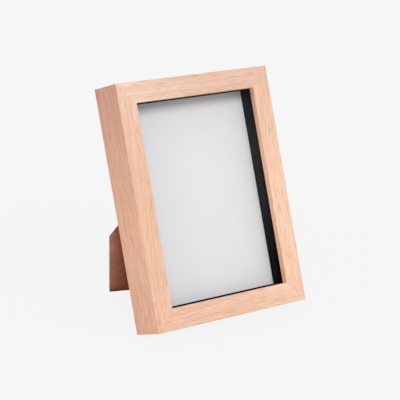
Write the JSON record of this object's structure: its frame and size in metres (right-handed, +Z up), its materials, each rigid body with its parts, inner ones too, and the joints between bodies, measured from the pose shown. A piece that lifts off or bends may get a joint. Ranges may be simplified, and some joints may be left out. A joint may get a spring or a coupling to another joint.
{
  "type": "easel back photo frame",
  "caption": "Deep wooden photo frame with mitred rails, glass, black spacers and a plain picture sheet, standing on a hinged two-way easel strut with turn buttons on its back.",
  "frame": {"origin": "middle of the frame's rear bottom edge, where it stands on the table", "axes": "+X along the frame's width to the viewer's right, +Y to the back, +Z up"},
  "size_m": [0.155, 0.1228, 0.2021],
  "materials": {
    "pale_wood": "satin",
    "glass": "clear",
    "black_spacer": "matte",
    "picture_paper": "matte",
    "grey_card": "matte",
    "corrugated_card": "matte",
    "hardboard": "matte",
    "steel": "zinc plated"
  },
  "bodies": {
    "frame": {"bottom_rail": "pale_wood", "right_rail": "pale_wood", "top_rail": "pale_wood", "left_rail": "pale_wood", "left_spacer": "black_spacer", "right_spacer": "black_spacer", "top_spacer": "black_spacer", "bottom_spacer": "black_spacer", "glass_pane": "glass", "picture_sheet": "picture_paper", "backing_card": "grey_card", "corrugated_pad": "corrugated_card", "back_board": "hardboard", "corner_v_nails": "steel", "hinge_base": "steel", "hinge_pin": "steel", "base_rivets": "steel", "button_screws": "steel", "portrait_hanger": "steel", "landscape_hanger": "steel", "hanger_nails": "steel"},
    "strut": {"strut": "hardboard", "hinge_leaf": "steel", "leaf_rivets": "steel"},
    "left_upper_button": {"left_upper_turn_button": "steel"},
    "left_lower_button": {"left_lower_turn_button": "steel"},
    "right_upper_button": {"right_upper_turn_button": "steel"},
    "right_lower_button": {"right_lower_turn_button": "steel"}
  },
  "joints": [
    {"name": "strut_fold", "type": "hinge", "parent": "frame", "child": "strut", "pos_m": [-0.0154, 0.0417, 0.09808], "axis": [0.9397, -0.1281, -0.3171], "range_deg": [-46, 0]},
    {"name": "left_upper_button_turn", "type": "hinge", "parent": "frame", "child": "left_upper_button", "pos_m": [-0.0715, 0.06046, 0.14863], "axis": [0, 0.9272, -0.3746], "range_deg": [-90, 90]},
    {"name": "left_lower_button_turn", "type": "hinge", "parent": "frame", "child": "left_lower_button", "pos_m": [-0.0715, 0.017, 0.04108], "axis": [0, 0.9272, -0.3746], "range_deg": [-90, 90]},
    {"name": "right_upper_button_turn", "type": "hinge", "parent": "frame", "child": "right_upper_button", "pos_m": [0.0715, 0.06046, 0.14863], "axis": [0, 0.9272, -0.3746], "range_deg": [-90, 90]},
    {"name": "right_lower_button_turn", "type": "hinge", "parent": "frame", "child": "right_lower_button", "pos_m": [0.0715, 0.017, 0.04108], "axis": [0, 0.9272, -0.3746], "range_deg": [-90, 90]}
  ]
}
